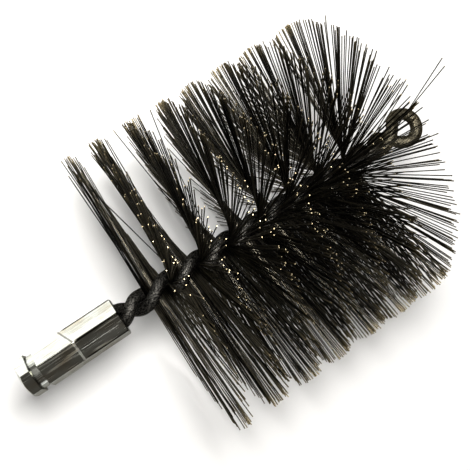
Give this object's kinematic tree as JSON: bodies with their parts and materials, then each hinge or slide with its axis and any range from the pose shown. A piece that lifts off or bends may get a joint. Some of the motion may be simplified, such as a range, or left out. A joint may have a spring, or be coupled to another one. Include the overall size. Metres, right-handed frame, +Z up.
{
  "type": "tube brush",
  "caption": "Twisted-wire tube brush: crimped hex coupling with a female thread, folded wire stem with a hanging eye, and spiral steel bristles.",
  "frame": {"origin": "centre of the bounding box's base, on the surface that the brush lies on", "axes": "+X along the brush from the coupling to the eye, +Z up, the eye's plane level"},
  "size_m": [0.1932, 0.1248, 0.1241],
  "materials": {
    "zinc_plated_steel": "bright zinc plate, faint tooling marks",
    "dark_steel_wire": "dark oiled drawn wire",
    "bristle_steel": "near-black spring steel with bright cut tips"
  },
  "bodies": {
    "root": {"hex_coupling": "zinc_plated_steel", "stem_wire": "dark_steel_wire", "bristle_flight_1": "bristle_steel", "bristle_flight_2": "bristle_steel", "bristle_flight_3": "bristle_steel", "bristle_flight_4": "bristle_steel", "bristle_flight_5": "bristle_steel", "bristle_flight_6": "bristle_steel", "bristle_flight_7": "bristle_steel", "bristle_flight_8": "bristle_steel"}
  },
  "joints": []
}
